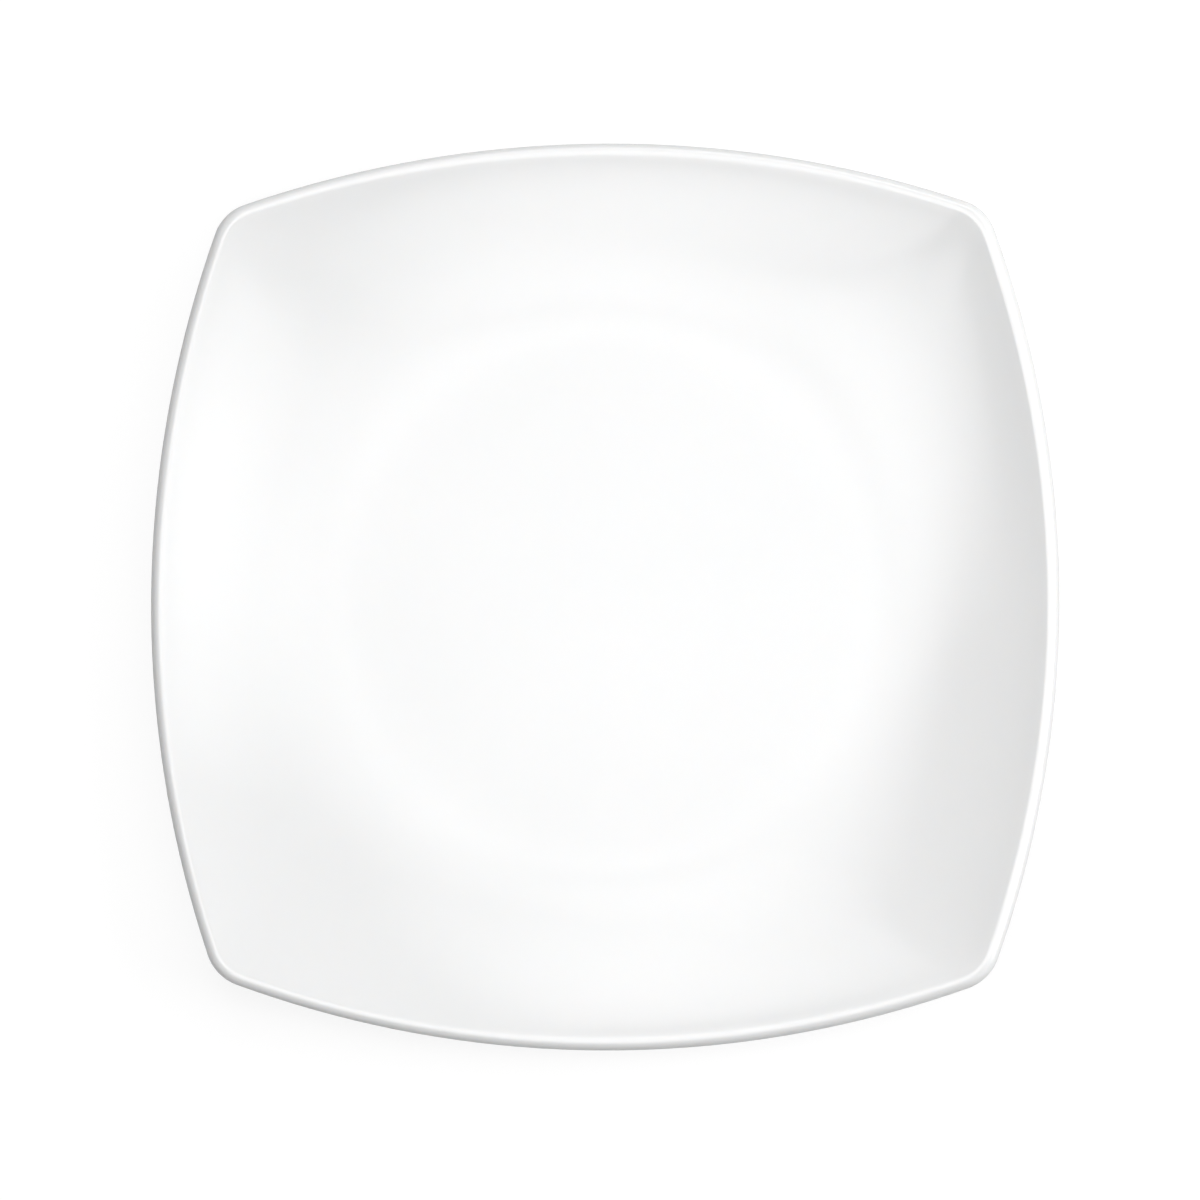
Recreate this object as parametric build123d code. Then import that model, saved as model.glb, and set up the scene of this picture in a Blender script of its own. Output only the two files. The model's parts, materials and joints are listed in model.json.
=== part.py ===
from build123d import *

import os
from math import asin, atan2, cos, degrees, radians, sin, sqrt, tan

# A square dinner plate, pressed in one piece from white opal glass. A flat, round well opens
# through a curved wall into a rim, whose plan is a square with bowed sides and soft corners. The
# rim comes up towards its corners. The lip is melted round, and a low foot ring carries the plate.
# Frame: millimetres, +Z up, origin in the middle of the foot ring, on the table.

# Driving dimensions
plate_width = 260.0  # across the crowns of two opposite sides, to the outside of the lip
plate_height = 20.0  # table to the top of the lip, at the middle of a side
side_radius = 302.0  # bow of each side, along the outside of the lip
corner_radius = 14.0  # rounding between two sides, along the outside of the lip
side_rise = 5.2  # ends of a side above its middle; the corners stand a little higher still
well_diameter = 147.0  # the flat, round floor that the food lies on
rim_angle = 29.0  # slope of the wall where it meets the lip, at the middle of a side, degrees
wall_ease = 0.26  # share of the wall's width over which it keeps level at the well and straight at the lip
floor_thickness = 4.2
rim_thickness = 4.2
lip_round = 1.95  # radius on both edges of the rim, a little under half its thickness
foot_inset = 5.0  # edge of the well to the middle of the foot ring, which nests in the plate below
foot_width = 3.0  # flat land that the plate stands on
foot_height = 2.0  # table to the recessed underside
foot_draft = 20.0  # slope of the ring's flanks, so that it leaves the mould, degrees
foot_round = 0.6  # edges of the land
foot_root_round = 1.0  # hollow where the ring grows out of the underside

wall_stations = 7  # outlines that the wall is drawn through, from the well to the rim
round_limit = 0.47  # largest rounding of an edge, as a share of the wall beside it
level_slack = 0.01  # an edge this near to a level lies on it

# Rounding the rim's edges pulls its outermost and topmost lines in by lip_pull
lip_radius = min(lip_round, round_limit * rim_thickness)
rim_sin = sin(radians(rim_angle))
rim_cos = cos(radians(rim_angle))
lip_pull = lip_radius * (rim_sin + rim_cos - 1)

# Upper edge of the rim before rounding: the face between the rim's edges stands square to the wall
lip_inset = rim_thickness * rim_sin - lip_pull
well_radius = well_diameter / 2
floor_level = foot_height + floor_thickness
wall_top = plate_height + lip_pull
wall_end = plate_width / 2 - lip_inset

# Plan of the rim: each side is an arc about a point beyond the middle of the plate, and each corner
# an arc that both sides run into
side_centre = side_radius - plate_width / 2
corner_reach = side_radius - corner_radius
corner_centre = (sqrt(2 * corner_reach**2 - side_centre**2) - side_centre) / 2
side_half_span = degrees(atan2(corner_centre, corner_centre + side_centre))


def draw_outline(share, spread, level, rise):
    """Closed outline: round at share 0, the bowed square of the rim's upper edge at share 1.

    spread moves the outline outwards by an equal distance. Each side leans in about its own middle,
    so that its ends come up by rise, and is bent more tightly to keep its plan. Each corner runs on
    from one side into the next.
    """
    side = well_radius + share * (side_radius - lip_inset - well_radius) + spread
    crown = well_radius + share * (wall_end - well_radius) + spread
    lean = atan2(rise, side * (1 - cos(radians(side_half_span))))
    bend = side * cos(lean)
    half_span = degrees(asin(sin(radians(side_half_span)) / cos(lean)))
    leaning = Plane((crown, 0, level), x_dir=(0, 1, 0), z_dir=(sin(lean), 0, cos(lean)))
    arc = leaning * CenterArc((0, bend), bend, -90 - half_span, 2 * half_span)
    sides = [Rotation(0, 0, 90 * quarter) * arc for quarter in range(4)]
    corners = []
    for quarter in range(4):
        end = sides[quarter]
        start = sides[(quarter + 1) % 4]
        corners.append(TangentArc(end @ 1, start @ 0, tangent=end % 1))
    return Wire(sides + corners)


def draw_wall_line():
    """The wall's upper surface at the middle of a side: X is the distance out, Y the height."""
    ease = wall_ease * (wall_end - well_radius)
    return Bezier(
        (well_radius, floor_level),
        (well_radius + ease, floor_level),
        (wall_end - ease * rim_cos, wall_top - ease * rim_sin),
        (wall_end, wall_top),
    )


def make_wall_outlines():
    """Outlines of the upper and under surfaces, from the well out to the rim."""
    wall_line = draw_wall_line()
    upper = []
    under = []
    for index in range(wall_stations):
        step = index / (wall_stations - 1)
        place = wall_line @ step
        along = wall_line % step
        share = (place.X - well_radius) / (wall_end - well_radius)
        rise = side_rise * (place.Y - floor_level) / (wall_top - floor_level)
        thickness = floor_thickness + step * (rim_thickness - floor_thickness)
        upper.append(draw_outline(share, 0, place.Y, rise))
        under.append(draw_outline(share, thickness * along.Y, place.Y - thickness * along.X, rise))
    return upper, under


def edges_at(solid, level):
    """Edges of a solid that lie wholly at one level."""
    return solid.edges().filter_by_position(Axis.Z, level - level_slack, level + level_slack)


def make_dish():
    """The plate without its foot: a skin over the wall, round the rim and back under, and two floors."""
    upper, under = make_wall_outlines()
    rim_face = Shell.make_loft([upper[-1], under[-1]], ruled=True)
    walls = Shell.make_loft(upper).faces() + rim_face.faces() + Shell.make_loft(under).faces()
    dish = Solid(Shell(walls + [Face(upper[0]), Face(under[0])]))
    rim_lines = upper[-1].edges() + under[-1].edges()
    rim_edges = [dish.edges().sort_by_distance(line @ 0.5)[0] for line in rim_lines]
    return fillet(rim_edges, lip_radius)


def make_foot():
    """Low ring with sloping flanks, reaching up into the floor that it grows out of."""
    root = foot_height + floor_thickness / 2
    flare = root * tan(radians(foot_draft))
    inner = well_radius - foot_inset - foot_width / 2
    outer = inner + foot_width
    profile = Polyline((inner, 0), (outer, 0), (outer + flare, root), (inner - flare, root), close=True)
    ring = revolve(Plane.XZ * make_face(profile), Axis.Z)
    return fillet(edges_at(ring, 0), min(foot_round, round_limit * foot_height, round_limit * foot_width))


def make_plate():
    """Dish and foot in one body, with the foot's roots hollowed."""
    plate = make_dish() + make_foot()
    rings = edges_at(plate, foot_height).filter_by(GeomType.CIRCLE)
    roots = [edge for edge in rings if edge.radius < well_radius - level_slack]
    return fillet(roots, min(foot_root_round, round_limit * foot_height))


plate = make_plate()
os.makedirs("parts", exist_ok=True)
export_step(plate, "parts/plate.step")
print("plate", plate.bounding_box().size, "volume", round(plate.volume / 1000, 1), "cm3")
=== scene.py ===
# %% [markdown]
# A square dinner plate of pressed opal glass. This lesson loads the plate's CAD model as a fixed
# frame, models the same plate by hand in Blender, gives it a finish, and lights and frames it as in
# the photograph. The CAD plate stays in the scene, hidden, and the modelled one takes its place.

# %% Load the frame
import json
from math import acos, asin, atan2, cos, degrees, pi, radians, sin, sqrt, tan

import bmesh
import bpy
from mathutils import Matrix, Vector

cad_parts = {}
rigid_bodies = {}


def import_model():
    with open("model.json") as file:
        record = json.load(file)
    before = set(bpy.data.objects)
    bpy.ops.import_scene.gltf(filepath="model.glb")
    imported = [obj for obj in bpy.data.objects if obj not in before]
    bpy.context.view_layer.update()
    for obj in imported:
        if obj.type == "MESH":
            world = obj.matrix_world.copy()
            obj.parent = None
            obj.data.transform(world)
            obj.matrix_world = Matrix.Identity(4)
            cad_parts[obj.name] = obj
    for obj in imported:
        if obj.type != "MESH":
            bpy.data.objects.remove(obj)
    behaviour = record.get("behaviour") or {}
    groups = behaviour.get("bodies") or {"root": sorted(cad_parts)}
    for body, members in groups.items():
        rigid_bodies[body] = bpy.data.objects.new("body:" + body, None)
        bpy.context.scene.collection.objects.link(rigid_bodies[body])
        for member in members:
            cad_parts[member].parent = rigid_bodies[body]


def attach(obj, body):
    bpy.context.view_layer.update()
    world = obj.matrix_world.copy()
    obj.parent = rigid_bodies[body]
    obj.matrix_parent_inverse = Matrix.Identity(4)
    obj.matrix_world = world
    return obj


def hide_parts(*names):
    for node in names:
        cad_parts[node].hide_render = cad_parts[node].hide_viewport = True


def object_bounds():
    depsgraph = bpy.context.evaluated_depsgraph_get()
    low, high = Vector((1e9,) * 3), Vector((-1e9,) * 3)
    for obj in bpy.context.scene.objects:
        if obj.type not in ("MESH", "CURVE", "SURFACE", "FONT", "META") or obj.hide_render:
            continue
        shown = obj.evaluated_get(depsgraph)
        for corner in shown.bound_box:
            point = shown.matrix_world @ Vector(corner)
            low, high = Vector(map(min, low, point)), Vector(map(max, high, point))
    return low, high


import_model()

cad_low, cad_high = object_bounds()
MM = 0.001
CM = 0.01
print("CAD plate", [round(size / MM, 2) for size in cad_high - cad_low], "mm")

# %% [markdown]
# A pressed plate is one gob of glass between a mould and a plunger, so its section has the same
# parts all round: a flat well, a wall that curves up, a lip that a flame has melted round, and a low
# foot ring. The plan changes from a circle at the well to a square with bowed sides at the rim, and
# the rim comes up towards its corners. The sizes could be read off the photograph again, but the CAD
# model's own, in millimetres, give both models one shape. Only the lip is melted a little rounder
# above and less below, because its band of light in the photograph is that broad.

# %% Sizes of the plate
plate_width = (cad_high - cad_low).x / MM
plate_height = 20.0  # at the middle of a side
side_radius = 302.0
corner_radius = 14.0
side_rise = 5.2  # ends of a side above its middle
well_radius = 73.5
rim_angle = radians(29)
wall_ease = 0.26  # share of the wall that runs level at the well and straight at the lip
thickness = 4.2
lip_round_above = 2.7
lip_round_below = 1.4
foot_middle = 68.5
foot_width = 3.0
foot_height = 2.0
foot_draft = radians(20)
foot_round = 0.6
foot_root_round = 1.0

# Rounding the rim's edges pulls its outermost and topmost lines in, by this share of the radius
edge_loss = sin(rim_angle) + cos(rim_angle) - 1
lip_inset = thickness * sin(rim_angle) - lip_round_below * edge_loss
wall_end = plate_width / 2 - lip_inset
wall_top = plate_height + lip_round_above * edge_loss
floor_level = foot_height + thickness

# Plan of the rim: each side is an arc about a point beyond the middle, each corner joins two sides
side_centre = side_radius - plate_width / 2
corner_reach = side_radius - corner_radius
corner_centre = (sqrt(2 * corner_reach**2 - side_centre**2) - side_centre) / 2
side_span = 2 * atan2(corner_centre, corner_centre + side_centre)
print("wall runs from", well_radius, "to", round(wall_end, 2), "mm, each side spans",
      round(degrees(side_span), 2), "degrees")

# %% [markdown]
# The wall's line at the middle of a side is a Bezier curve: level where it leaves the well, and at
# the rim's slope where it reaches the lip. It could be drawn as a curve object, but four points and
# two short sums give both the place and the direction, which the underside needs as well.

# %% The wall's line
ease = wall_ease * (wall_end - well_radius)
wall_points = (
    Vector((well_radius, floor_level)),
    Vector((well_radius + ease, floor_level)),
    Vector((wall_end - ease * cos(rim_angle), wall_top - ease * sin(rim_angle))),
    Vector((wall_end, wall_top)),
)


def follow_wall(step):
    """Place on the wall's line and direction along it: the well at step 0, the rim at step 1."""
    a, b, c, d = wall_points
    back = 1 - step
    place = a * back**3 + b * (3 * back**2 * step) + c * (3 * back * step**2) + d * step**3
    along = (b - a) * back**2 + (c - b) * (2 * back * step) + (d - c) * step**2
    return place, along.normalized()


print("wall at half way", [round(value, 2) for value in follow_wall(0.5)[0]], "mm")

# %% [markdown]
# An outline runs once round the plate at one station of the wall. It is drawn as a die maker scribes
# it: one vertex swings on an arm along a side, then on a short arm round the corner, four times
# over. Spin is Blender's tool for that. Each side leans in about its own middle, which brings the
# corners up, on a shorter arm, which keeps its plan. Each corner's arc starts in the direction in
# which the side ends.

# %% Draw outlines
side_steps = 36
corner_steps = 14
same_place = 0.02 * MM  # vertices this close are one


def spin_along(centre, axis, angle, steps):
    """Swings the last vertex of an outline about an arm's centre."""
    bpy.ops.mesh.spin(steps=steps, angle=-angle, center=centre * MM, axis=axis)


def draw_outline(name, share, spread, level, rise):
    """Adds a closed outline as a vertex group: round at share 0, the rim's square at share 1."""
    side = well_radius + share * (side_radius - lip_inset - well_radius) + spread
    crown = well_radius + share * (wall_end - well_radius) + spread
    lean = atan2(rise, side * (1 - cos(side_span / 2)))
    arm = side * cos(lean)
    swing = 2 * asin(sin(side_span / 2) / cos(lean))
    centre = Vector((crown - arm * cos(lean), 0, level + arm * sin(lean)))
    axis = Vector((sin(lean), 0, cos(lean)))
    crown_place = Vector((crown, 0, level))
    start = centre + Matrix.Rotation(-swing / 2, 3, axis) @ (crown_place - centre)

    bpy.ops.mesh.select_all(action="DESELECT")
    bpy.ops.mesh.primitive_plane_add(size=MM, location=start * MM)
    bpy.ops.mesh.merge(type="CENTER")
    quarter = Matrix.Rotation(pi / 2, 3, "Z")
    for _ in range(4):
        spin_along(centre, axis, swing, side_steps)
        end = centre + Matrix.Rotation(swing, 3, axis) @ (start - centre)
        forward = axis.cross(end - centre).normalized()
        start, centre, axis = quarter @ start, quarter @ centre, quarter @ axis
        chord = start - end
        inward = (chord - chord.dot(forward) * forward).normalized()
        reach = chord.length_squared / (2 * chord.dot(inward))
        turn = 2 * acos(chord.normalized().dot(forward))
        spin_along(end + inward * reach, forward.cross(inward), turn, corner_steps)
    bpy.ops.mesh.select_linked()
    bpy.ops.mesh.remove_doubles(threshold=same_place)
    bpy.ops.object.vertex_group_assign_new()
    plate.vertex_groups.active.name = name
    return name


bpy.ops.object.select_all(action="DESELECT")
bpy.ops.mesh.primitive_plane_add(size=MM)
plate = bpy.context.object
plate.name = plate.data.name = "dinner_plate"
bpy.ops.object.mode_set(mode="EDIT")
bpy.ops.mesh.delete(type="VERT")
upper = [draw_outline("well", 0, 0, floor_level, 0)]
plate.update_from_editmode()
print("outline of", len(plate.data.vertices), "vertices")

# %% [markdown]
# The wall could be one bridge from the well to the rim, bent afterwards. Drawing an outline at every
# station of the wall's line is surer: the upper skin follows the line, the under skin lies one
# thickness below it, square to it, and bridging each outline to the next makes the wall in quads.
# The last station before the rim leaves just the room that the rounding of the lip needs.

# %% Skin the wall
wall_stations = 15
rim_clearance = 0.085  # last station before the rim, as a share of the wall's line


def select_outlines(*names):
    """Selects whole outlines, and nothing else."""
    bpy.ops.mesh.select_all(action="DESELECT")
    for name in names:
        bpy.ops.object.vertex_group_set_active(group=name)
        bpy.ops.object.vertex_group_select()


steps = [index * (1 - rim_clearance) / (wall_stations - 1) for index in range(wall_stations)] + [1]
under = []
for number, step in enumerate(steps):
    place, along = follow_wall(step)
    share = (place.x - well_radius) / (wall_end - well_radius)
    rise = side_rise * (place.y - floor_level) / (wall_top - floor_level)
    if number > 0:
        upper.append(draw_outline(f"upper_{number}", share, 0, place.y, rise))
    depth = place.y - thickness * along.x
    under.append(draw_outline(f"under_{number}", share, thickness * along.y, depth, rise))

skin = upper + under[::-1]
for inner, outer in zip(skin, skin[1:]):
    select_outlines(inner, outer)
    bpy.ops.mesh.bridge_edge_loops()
print(len(skin), "outlines bridged")

# %% [markdown]
# The floor of the well and the underside are flat, so each is one face filled into the skin's open
# end. Extruding it in place and scaling it down, again and again, turns it into rings of quads, and
# a poke closes the middle. Insets would do, but they fold over where the edges get short. Two of the
# rings below lie where the foot will grow, and two more keep close beside them.

# %% Fill the floors
foot_outer = foot_middle + foot_width / 2
foot_inner = foot_middle - foot_width / 2
foot_flare = foot_height * tan(foot_draft)
root_clearance = 1.2  # leaves room for the rounding at the foot's roots
middle_rings = (45, 30, 15)  # radii that break up the flat middle, above and below
well_rings = (60, *middle_rings)
under_rings = (
    foot_outer + foot_flare + root_clearance, foot_outer + foot_flare,
    foot_inner - foot_flare, foot_inner - foot_flare - root_clearance, *middle_rings)
floors = ((upper[0], floor_level, well_rings), (under[0], foot_height, under_rings))

for edge, level, rings in floors:
    select_outlines(edge)
    bpy.ops.mesh.edge_face_add()
    radius = well_radius
    for ring in rings:
        shrink = ring / radius
        bpy.ops.mesh.extrude_region()
        bpy.ops.transform.resize(value=(shrink, shrink, 1), center_override=(0, 0, level * MM))
        radius = ring
    bpy.ops.mesh.poke()
bpy.ops.mesh.select_all(action="SELECT")
bpy.ops.mesh.normals_make_consistent(inside=False)
plate.update_from_editmode()
print("closed skin of", len(plate.data.polygons), "faces")

# %% [markdown]
# A flame melts the lip until surface tension pulls it round, and it plays on the lip from above.
# Bevel does the same to the two edges of the rim: its width is the radius of the rounding, larger
# above than below, and its segments are fine enough for the streak of light along a real lip. Once
# the upper edge is round, the under one is the only sharp edge left.

# %% Melt the lip
lip_segments = 7
sharp_turn = radians(60)
select_outlines(upper[-1])
bpy.ops.mesh.bevel(offset=lip_round_above * MM, segments=lip_segments, affect="EDGES")
bpy.ops.mesh.select_all(action="DESELECT")
bpy.ops.mesh.select_mode(type="EDGE")
bpy.ops.mesh.edges_select_sharp(sharpness=sharp_turn)
bpy.ops.mesh.bevel(offset=lip_round_below * MM, segments=lip_segments, affect="EDGES")
plate.update_from_editmode()
highest = max(vertex.co.z for vertex in plate.data.vertices)
print("lip rounded, top at", round(highest / MM, 2), "mm")

# %% [markdown]
# The foot ring is a groove in the mould, with sloping flanks so that the glass lets go. It could be
# a ring of its own joined on, but then its roots would need sewing. Here it grows from the band of
# faces between the two rings kept for it: one inset with a depth draws them down to the table and
# narrows them by the draft, and two bevels round the land's edges and hollow the roots.

# %% Draw down the foot ring
slack = 0.1  # lengths this close count as the same
foot_segments = 3
flank_turn = pi / 2 - foot_draft


def near(value, target):
    """Whether two lengths in millimetres are the same."""
    return abs(value - target) < slack


def select_rings(level, *radii):
    """Selects the rings of edges at one level that have these radii."""
    bpy.ops.mesh.select_all(action="DESELECT")
    bpy.ops.mesh.select_mode(type="EDGE")
    shape = bmesh.from_edit_mesh(plate.data)
    for edge in shape.edges:
        middle = (edge.verts[0].co + edge.verts[1].co) / 2 / MM
        reach = middle.xy.length
        edge.select = near(middle.z, level) and any(near(reach, radius) for radius in radii)
    shape.select_flush_mode()
    return sum(edge.select for edge in shape.edges)


bpy.ops.mesh.select_all(action="DESELECT")
bpy.ops.mesh.select_mode(type="FACE")
shape = bmesh.from_edit_mesh(plate.data)
for face in shape.faces:
    middle = face.calc_center_median() / MM
    in_band = abs(middle.xy.length - foot_middle) < foot_width / 2
    face.select = near(middle.z, foot_height) and in_band
shape.select_flush_mode()
bpy.ops.mesh.inset(thickness=foot_flare * MM, depth=foot_height * MM)

roundings = (
    (0, foot_outer, foot_inner, foot_round),
    (foot_height, foot_outer + foot_flare, foot_inner - foot_flare, foot_root_round),
)
for level, outer, inner, radius in roundings:
    count = select_rings(level, outer, inner)
    width = radius * tan(flank_turn / 2)
    bpy.ops.mesh.bevel(offset=width * MM, segments=foot_segments, affect="EDGES")
    print("rounded", count, "edges at level", level)

# %% [markdown]
# The mesh is finished as a solid, with normals outward and smooth shading; its open edges are
# counted and its volume is measured.

# %% Finish the plate
bpy.ops.mesh.select_all(action="SELECT")
bpy.ops.mesh.remove_doubles(threshold=same_place)
bpy.ops.mesh.normals_make_consistent(inside=False)
shape = bmesh.from_edit_mesh(plate.data)
open_edges = sum(not edge.is_manifold for edge in shape.edges)
volume = shape.calc_volume() / CM**3
bpy.ops.object.mode_set(mode="OBJECT")
bpy.ops.object.vertex_group_remove(all=True)
bpy.ops.object.shade_smooth()
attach(plate, "root")
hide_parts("plate")
print(len(plate.data.polygons), "faces,", open_edges, "open edges,", round(volume, 1), "cm3")

# %% [markdown]
# A finish in Blender is a tree of nodes. It could be put together by hand in the shader editor, but
# written out it reads like a recipe. Three helpers serve every finish below: one turns a colour as a
# paint program writes it into light, one adds a node with its settings and links, and one starts an
# empty material.

# %% Helpers for the finishes


def linear(code):
    """Linear colour of an sRGB hex code."""
    channels = [int(code[place:place + 2], 16) / 255 for place in (1, 3, 5)]
    return [c / 12.92 if c <= 0.04045 else ((c + 0.055) / 1.055) ** 2.4 for c in channels] + [1]


def add_node(tree, kind, settings=None, inputs=None):
    """Adds a node: settings are its own, inputs are values or outputs of other nodes."""
    node = tree.nodes.new(kind)
    for name, value in (settings or {}).items():
        setattr(node, name, value)
    for name, value in (inputs or {}).items():
        if isinstance(value, bpy.types.NodeSocket):
            tree.links.new(value, node.inputs[name])
        else:
            node.inputs[name].default_value = value
    return node


def new_material(name):
    """An empty node material with its output."""
    material = bpy.data.materials.new(name)
    material.use_nodes = True
    material.node_tree.nodes.clear()
    return material, material.node_tree, add_node(material.node_tree, "ShaderNodeOutputMaterial")


print("a grey of #BCBCBC is", round(linear("#BCBCBC")[0], 2), "of full light")

# %% [markdown]
# Opal glass is white all through: fluoride crystals in it scatter the light, and the pressed
# surface, polished by the flame, is smooth and bright. What gives it away is a sharp reflection over
# a milky body that light enters a little. The batch never mixes quite evenly, which shows as clouds
# a shade apart. A flat white would do from afar, but it looks like paint.

# %% Milky body
glass_white = "#F8F8F8"
glass_milk = "#F2F3F3"
cloud_size = 70.0
cloud_detail = 3.0
mix_first, mix_second, mix_result = 6, 7, 2  # sockets of a Mix node that hold its colours
glass, tree, output = new_material("pressed opal glass")
coords = add_node(tree, "ShaderNodeTexCoord").outputs["Object"]
cloud = add_node(tree, "ShaderNodeTexNoise", {}, {
    "Vector": coords, "Scale": 1 / (cloud_size * MM), "Detail": cloud_detail})
body = add_node(tree, "ShaderNodeMix", {"data_type": "RGBA"}, {
    "Factor": cloud.outputs["Fac"],
    mix_first: linear(glass_milk), mix_second: linear(glass_white)})
print("clouds of", cloud_size, "mm from", glass_milk, "to", glass_white)

# %% [markdown]
# The flame's polish varies a little over the plate, so its roughness does too. The land of the foot
# is ground flat on a belt, which leaves it satin. It could be a second material on its faces, but
# height above the table picks it out without a seam.

# %% Polish
polish_size = 12.0
polish_detail = 2.0
polish_best, polish_worst = 0.03, 0.07  # roughness
land_satin = 0.4  # roughness
land_top, land_fade = 0.02, 0.12  # heights at which the satin starts to fade and is gone
polish = add_node(tree, "ShaderNodeTexNoise", {}, {
    "Vector": coords, "Scale": 1 / (polish_size * MM), "Detail": polish_detail})
bright = add_node(tree, "ShaderNodeMapRange", {}, {
    "Value": polish.outputs["Fac"], "To Min": polish_best, "To Max": polish_worst})
height = add_node(tree, "ShaderNodeSeparateXYZ", {}, {"Vector": coords}).outputs["Z"]
ground = add_node(tree, "ShaderNodeMapRange", {}, {
    "Value": height, "From Min": land_top * MM, "From Max": land_fade * MM,
    "To Min": land_satin, "To Max": 0.0})
rough = add_node(tree, "ShaderNodeMath", {"operation": "MAXIMUM"}, {
    0: bright.outputs["Result"], 1: ground.outputs["Result"]})
print("roughness", polish_best, "to", polish_worst, "and", land_satin, "on the land")

# %% [markdown]
# The cooled plunger leaves shallow waves, long and soft, which only bend a reflection a little. They
# are far too low to model, so a bump stands for them. The surface then puts the layers together,
# with the refraction of soda-lime glass and a little light that wanders under the skin.

# %% Pressed surface
wave_size = 45.0
wave_height = 0.03
wave_detail = 1.0
glass_ior = 1.51
scatter_share = 0.2
scatter_depth = 1.5
scatter_colours = (1.0, 0.9, 0.8)  # red wanders furthest
wave = add_node(tree, "ShaderNodeTexNoise", {}, {
    "Vector": coords, "Scale": 1 / (wave_size * MM), "Detail": wave_detail})
relief = add_node(tree, "ShaderNodeBump", {}, {
    "Height": wave.outputs["Fac"], "Strength": 1.0, "Distance": wave_height * MM})
surface = add_node(tree, "ShaderNodeBsdfPrincipled", {}, {
    "Base Color": body.outputs[mix_result], "Roughness": rough.outputs[0], "IOR": glass_ior,
    "Normal": relief.outputs[0], "Subsurface Weight": scatter_share,
    "Subsurface Radius": scatter_colours, "Subsurface Scale": scatter_depth * MM})
tree.links.new(surface.outputs[0], output.inputs["Surface"])
plate.data.materials.clear()
plate.data.materials.append(glass)
print(glass.name, "with", len(tree.nodes), "nodes")

# %% [markdown]
# The floor is a plain sheet. It lies a hair under the foot, so that the two don't share a level.

# %% Lay the floor
floor_size = 24.0  # metres
floor_drop = 0.2
bpy.ops.object.select_all(action="DESELECT")
bpy.ops.mesh.primitive_plane_add(size=floor_size, location=(0, 0, -floor_drop * MM))
floor = bpy.context.object
floor.name = "floor"
print("floor", floor_size, "m wide,", floor_drop, "mm under the foot")

# %% [markdown]
# The camera, and what mirrors in the glass, see the floor as paper white with the plate's faint
# shadow on it. Brighter lamps would whiten it too, and burn out the plate, so the sheet glows by
# itself. The glow is a little low near the plate, where the lamps make up for it and a shadow shows,
# and full further out, where they don't reach. The light that the floor throws back is that of a
# plain grey one, which leaves the outside of the lip in shade.

# %% White paper
paper_white = 1.0
glow_near = 0.82
glow_start, glow_full = 200.0, 800.0  # distances over which the glow grows to white
shadow_grey = "#8C8C8C"
bounce_grey = "#A0A0A0"


def seen_rays(tree):
    """1 where the camera, a mirror or clear glass looks, 0 for light on its way round the scene."""
    path = add_node(tree, "ShaderNodeLightPath").outputs
    direct = add_node(tree, "ShaderNodeMath", {"operation": "ADD"}, {
        0: path["Is Camera Ray"], 1: path["Is Glossy Ray"]})
    return add_node(tree, "ShaderNodeMath", {"operation": "ADD", "use_clamp": True}, {
        0: direct.outputs[0], 1: path["Is Transmission Ray"]}).outputs[0]


sheet, tree, output = new_material("white paper")
place = add_node(tree, "ShaderNodeTexCoord").outputs["Object"]
away = add_node(tree, "ShaderNodeVectorMath", {"operation": "LENGTH"}, {0: place}).outputs["Value"]
level = add_node(tree, "ShaderNodeMapRange", {}, {
    "Value": away, "From Min": glow_start * MM, "From Max": glow_full * MM,
    "To Min": glow_near, "To Max": paper_white})
glow = add_node(tree, "ShaderNodeEmission", {}, {"Strength": level.outputs["Result"]})
shade = add_node(tree, "ShaderNodeBsdfDiffuse", {}, {"Color": linear(shadow_grey)})
seen = add_node(tree, "ShaderNodeAddShader", {}, {0: glow.outputs[0], 1: shade.outputs[0]})
plain = add_node(tree, "ShaderNodeBsdfDiffuse", {}, {"Color": linear(bounce_grey)})
paper = add_node(tree, "ShaderNodeMixShader", {}, {
    "Fac": seen_rays(tree), 1: plain.outputs[0], 2: seen.outputs[0]})
tree.links.new(paper.outputs[0], output.inputs["Surface"])
floor.data.materials.append(sheet)
print(sheet.name, "with", len(tree.nodes), "nodes")

# %% [markdown]
# The photograph's light comes from large soft boxes: one overhead, four around it, and three low
# ones on the far side and the right, which light the lip from outside. Their mirror images give the
# wall its bright and dark patches, so each lamp's place and size matter more than its power. Point
# lamps would be simpler, but a glossy plate shows them as sparks.

# %% Places of the lamps
lamp_reach = 1200.0
lamp_target = Vector((0, 0, 12))
# Zenith and azimuth in degrees, half width and half height in millimetres, radiance of the middle
lamps = {
    "overhead": (5, 151, 370, 390, 3.6),
    "right_strip": (24, 2, 255, 390, 2.95),
    "far_strip": (27, 102, 225, 340, 3.1),
    "left_box": (20, 192, 235, 220, 2.75),
    "near_box": (22, 255, 310, 365, 3.35),
    "right_low": (60, -3, 400, 420, 5.5),
    "far_right_low": (51, 30, 570, 260, 2.95),
    "far_low": (54, 84, 475, 180, 5.2),
}
print(len(lamps), "lamps,", lamp_reach, "mm from the plate")

# %% [markdown]
# A soft box is brightest in its middle and fades to its edges. Blender's area lamp is even, but its
# own nodes can fade it: across the lamp's face, u runs from 0 to 1, and 4u(1 - u) is 1 in the middle
# and 0 at the edges. Power follows from the brightness of the middle: watts = radiance x pi x area.

# %% Hang the lamps
middle_gain = 4.0  # makes u(1 - u) 1 in the middle


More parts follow.
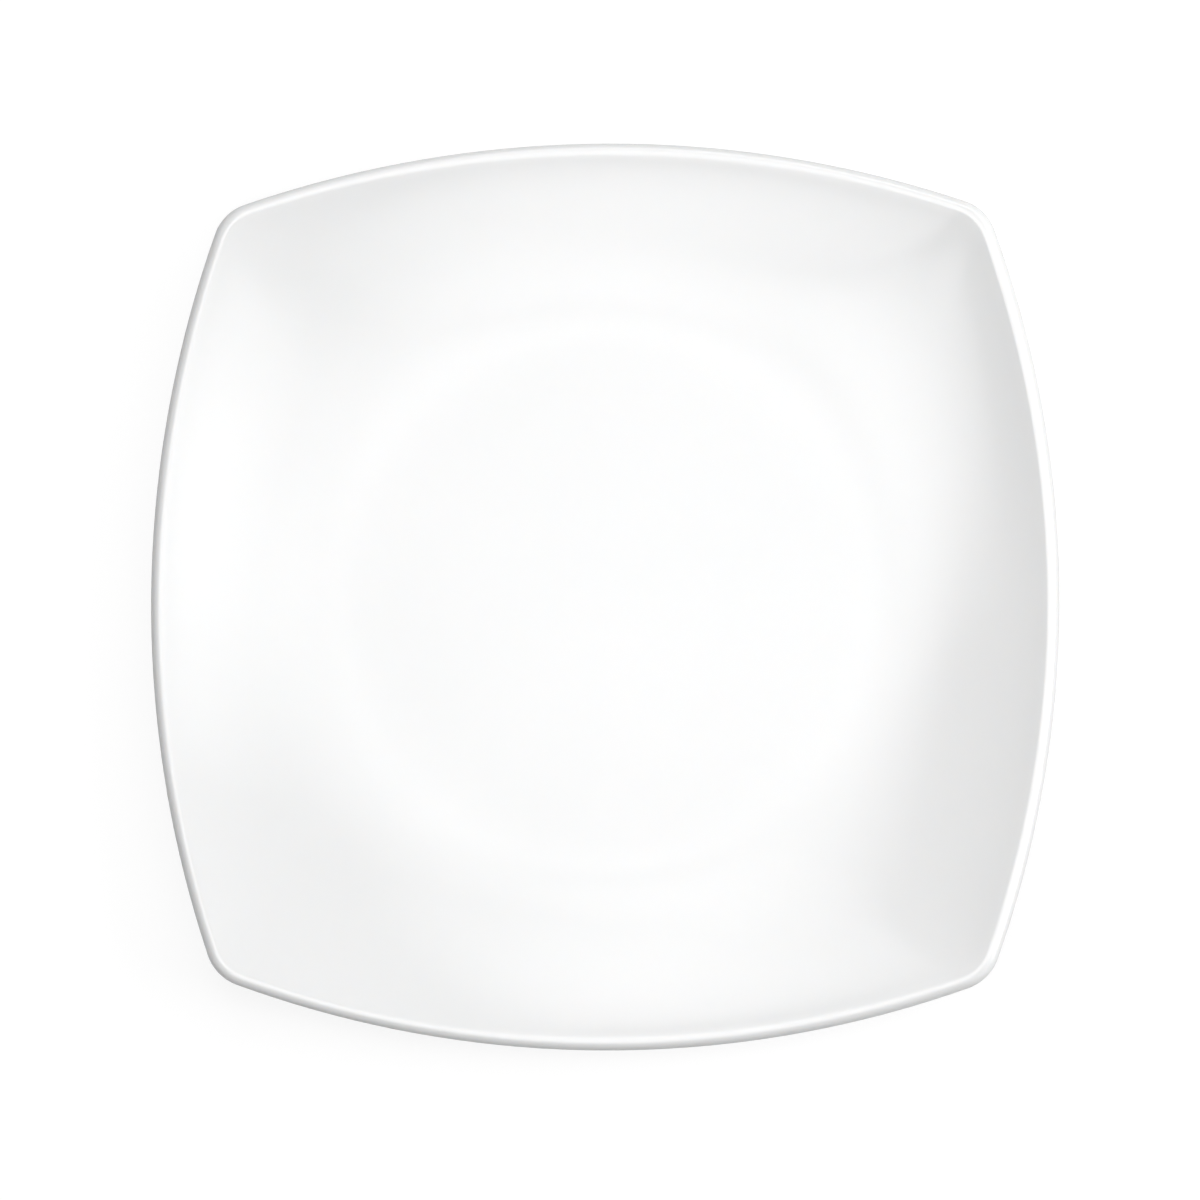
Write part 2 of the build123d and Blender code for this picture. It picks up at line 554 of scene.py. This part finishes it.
def soften(lamp):
    """Fades a lamp's face from its middle to its edges."""
    lamp.use_nodes = True
    tree = lamp.node_tree
    tree.nodes.clear()
    face = add_node(tree, "ShaderNodeNewGeometry").outputs["Parametric"]
    rest = add_node(tree, "ShaderNodeVectorMath", {"operation": "SUBTRACT"}, {
        0: (1, 1, 1), 1: face})
    fade = add_node(tree, "ShaderNodeVectorMath", {"operation": "MULTIPLY"}, {
        0: face, 1: rest.outputs[0]})
    sides = add_node(tree, "ShaderNodeSeparateXYZ", {}, {"Vector": fade.outputs[0]}).outputs
    both = add_node(tree, "ShaderNodeMath", {"operation": "MULTIPLY"}, {
        0: sides["X"], 1: sides["Y"]})
    full = add_node(tree, "ShaderNodeMath", {"operation": "MULTIPLY"}, {
        0: both.outputs[0], 1: middle_gain**2})
    glow = add_node(tree, "ShaderNodeEmission", {}, {"Strength": full.outputs[0]})
    add_node(tree, "ShaderNodeOutputLight", {}, {"Surface": glow.outputs[0]})


for name, (zenith, azimuth, half_width, half_height, radiance) in lamps.items():
    tilt, turn = radians(zenith), radians(azimuth)
    towards = Vector((sin(tilt) * cos(turn), sin(tilt) * sin(turn), cos(tilt)))
    across = Vector((-sin(turn), cos(turn), 0))
    facing = Matrix((across, towards.cross(across), towards)).transposed()
    hung_at = lamp_target + towards * lamp_reach
    bpy.ops.object.light_add(type="AREA", location=hung_at * MM, rotation=facing.to_euler())
    lamp = bpy.context.object
    lamp.name = name
    lamp.visible_camera = False
    lamp.data.shape = "RECTANGLE"
    lamp.data.size = 2 * half_width * MM
    lamp.data.size_y = 2 * half_height * MM
    lamp.data.energy = radiance * pi * lamp.data.size * lamp.data.size_y
    soften(lamp.data)
    print(name, round(lamp.data.energy, 2), "W")

# %% [markdown]
# The room around the lamps is white to the eye and dim as a source of light. The same test of rays
# as on the floor tells the two apart.

# %% Room
room_light = 0.02
world = bpy.data.worlds.new("white room")
bpy.context.scene.world = world
world.use_nodes = True
world.node_tree.nodes.clear()
tree = world.node_tree
dim = add_node(tree, "ShaderNodeBackground", {}, {"Strength": room_light})
white = add_node(tree, "ShaderNodeBackground", {}, {"Strength": paper_white})
room = add_node(tree, "ShaderNodeMixShader", {}, {
    "Fac": seen_rays(tree), 1: dim.outputs[0], 2: white.outputs[0]})
add_node(tree, "ShaderNodeOutputWorld", {}, {"Surface": room.outputs[0]})
print("room light", room_light)

# %% [markdown]
# The photograph looks down almost plumb on the plate, from about a metre, a little from the near
# side and the right. Its camera could be found by eye. Here its leans and its lens come from the
# plate's outline in a picture 1200 pixels wide.

# %% Camera
camera_lean_right = radians(2.46)
camera_lean_near = radians(3.86)
camera_roll = radians(0.15)
camera_distance = 981.0
aim = Vector((-1.0, -1.6, 12.0))
picture_width = 1200
focal_pixels = 3410
sensor = 36.0

backward = Vector((sin(camera_lean_right), -sin(camera_lean_near), 0))
backward.z = sqrt(1 - backward.length_squared)
level_right = Vector((0, 1, 0)).cross(backward).normalized()
level_up = backward.cross(level_right)
right = cos(camera_roll) * level_right + sin(camera_roll) * level_up
upward = cos(camera_roll) * level_up - sin(camera_roll) * level_right
turn = Matrix((right, upward, backward)).transposed()
stand = aim + backward * camera_distance
bpy.ops.object.camera_add(location=stand * MM, rotation=turn.to_euler())
camera = bpy.context.object
camera.data.sensor_width = sensor
camera.data.lens = focal_pixels / picture_width * sensor
bpy.context.scene.camera = camera
bpy.context.scene.view_settings.view_transform = "Standard"
print("lens", round(camera.data.lens, 1), "mm at", camera_distance, "mm")
